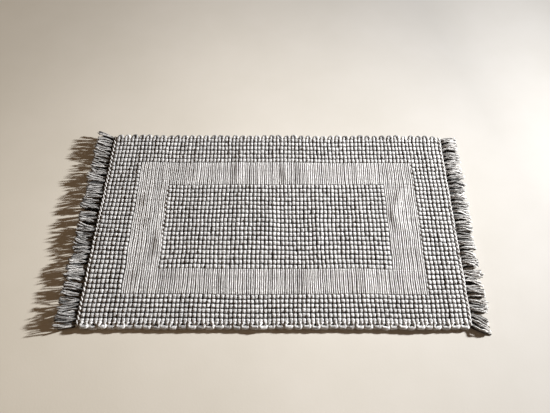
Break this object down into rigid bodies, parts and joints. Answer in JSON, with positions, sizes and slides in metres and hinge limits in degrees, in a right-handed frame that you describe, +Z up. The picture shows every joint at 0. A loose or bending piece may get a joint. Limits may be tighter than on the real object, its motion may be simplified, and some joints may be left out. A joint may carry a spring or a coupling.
{
  "type": "bath mat",
  "caption": "Rectangular hand-woven cotton bath mat with a raised centre panel and border, a flat ribbed band between them, looped long edges and a hinged fringe at each short end.",
  "frame": {"origin": "middle of the underside, on the surface that the mat lies on", "axes": "+X along the mat's length, +Y from the front edge to the back edge, +Z up out of the pile side"},
  "size_m": [0.8994, 0.5, 0.0125],
  "materials": {
    "warp_cotton": "thin plied cotton warp, matt mid grey",
    "raised_weft": "thick soft cotton weft in rounded loops, heathered light grey, matt",
    "flat_weft": "thick soft cotton weft laid flat in thin ribs, pale heathered grey, matt",
    "end_cord": "two-strand twined cotton cord, pale grey, matt",
    "fringe": "loose plied cotton warp ends, warm light grey, matt"
  },
  "bodies": {
    "mat": {"warp_ground": "warp_cotton", "border_weft_front": "raised_weft", "border_weft_back": "raised_weft", "border_weft_left": "raised_weft", "border_weft_right": "raised_weft", "band_weft_front": "flat_weft", "band_weft_back": "flat_weft", "band_weft_left": "flat_weft", "band_weft_right": "flat_weft", "centre_weft": "raised_weft", "selvage_loops_front": "raised_weft", "selvage_loops_back": "raised_weft", "end_cord_left": "end_cord", "end_cord_right": "end_cord"},
    "fringe_left": {"fringe_tuft_left_01": "fringe", "fringe_tuft_left_02": "fringe", "fringe_tuft_left_03": "fringe", "fringe_tuft_left_04": "fringe", "fringe_tuft_left_05": "fringe", "fringe_tuft_left_06": "fringe", "fringe_tuft_left_07": "fringe", "fringe_tuft_left_08": "fringe", "fringe_tuft_left_09": "fringe", "fringe_tuft_left_10": "fringe", "fringe_tuft_left_11": "fringe", "fringe_tuft_left_12": "fringe", "fringe_tuft_left_13": "fringe", "fringe_tuft_left_14": "fringe", "fringe_tuft_left_15": "fringe", "fringe_tuft_left_16": "fringe", "fringe_tuft_left_17": "fringe", "fringe_tuft_left_18": "fringe", "fringe_tuft_left_19": "fringe", "fringe_tuft_left_20": "fringe", "fringe_tuft_left_21": "fringe", "fringe_tuft_left_22": "fringe"},
    "fringe_right": {"fringe_tuft_right_01": "fringe", "fringe_tuft_right_02": "fringe", "fringe_tuft_right_03": "fringe", "fringe_tuft_right_04": "fringe", "fringe_tuft_right_05": "fringe", "fringe_tuft_right_06": "fringe", "fringe_tuft_right_07": "fringe", "fringe_tuft_right_08": "fringe", "fringe_tuft_right_09": "fringe", "fringe_tuft_right_10": "fringe", "fringe_tuft_right_11": "fringe", "fringe_tuft_right_12": "fringe", "fringe_tuft_right_13": "fringe", "fringe_tuft_right_14": "fringe", "fringe_tuft_right_15": "fringe", "fringe_tuft_right_16": "fringe", "fringe_tuft_right_17": "fringe", "fringe_tuft_right_18": "fringe", "fringe_tuft_right_19": "fringe", "fringe_tuft_right_20": "fringe", "fringe_tuft_right_21": "fringe", "fringe_tuft_right_22": "fringe"}
  },
  "joints": [
    {"name": "fringe_left_swing", "type": "hinge", "parent": "mat", "child": "fringe_left", "pos_m": [-0.4045, 0, 0.006], "axis": [0, 1, 0], "range_deg": [0, 110]},
    {"name": "fringe_right_swing", "type": "hinge", "parent": "mat", "child": "fringe_right", "pos_m": [0.4045, 0, 0.006], "axis": [0, -1, 0], "range_deg": [0, 110]}
  ]
}
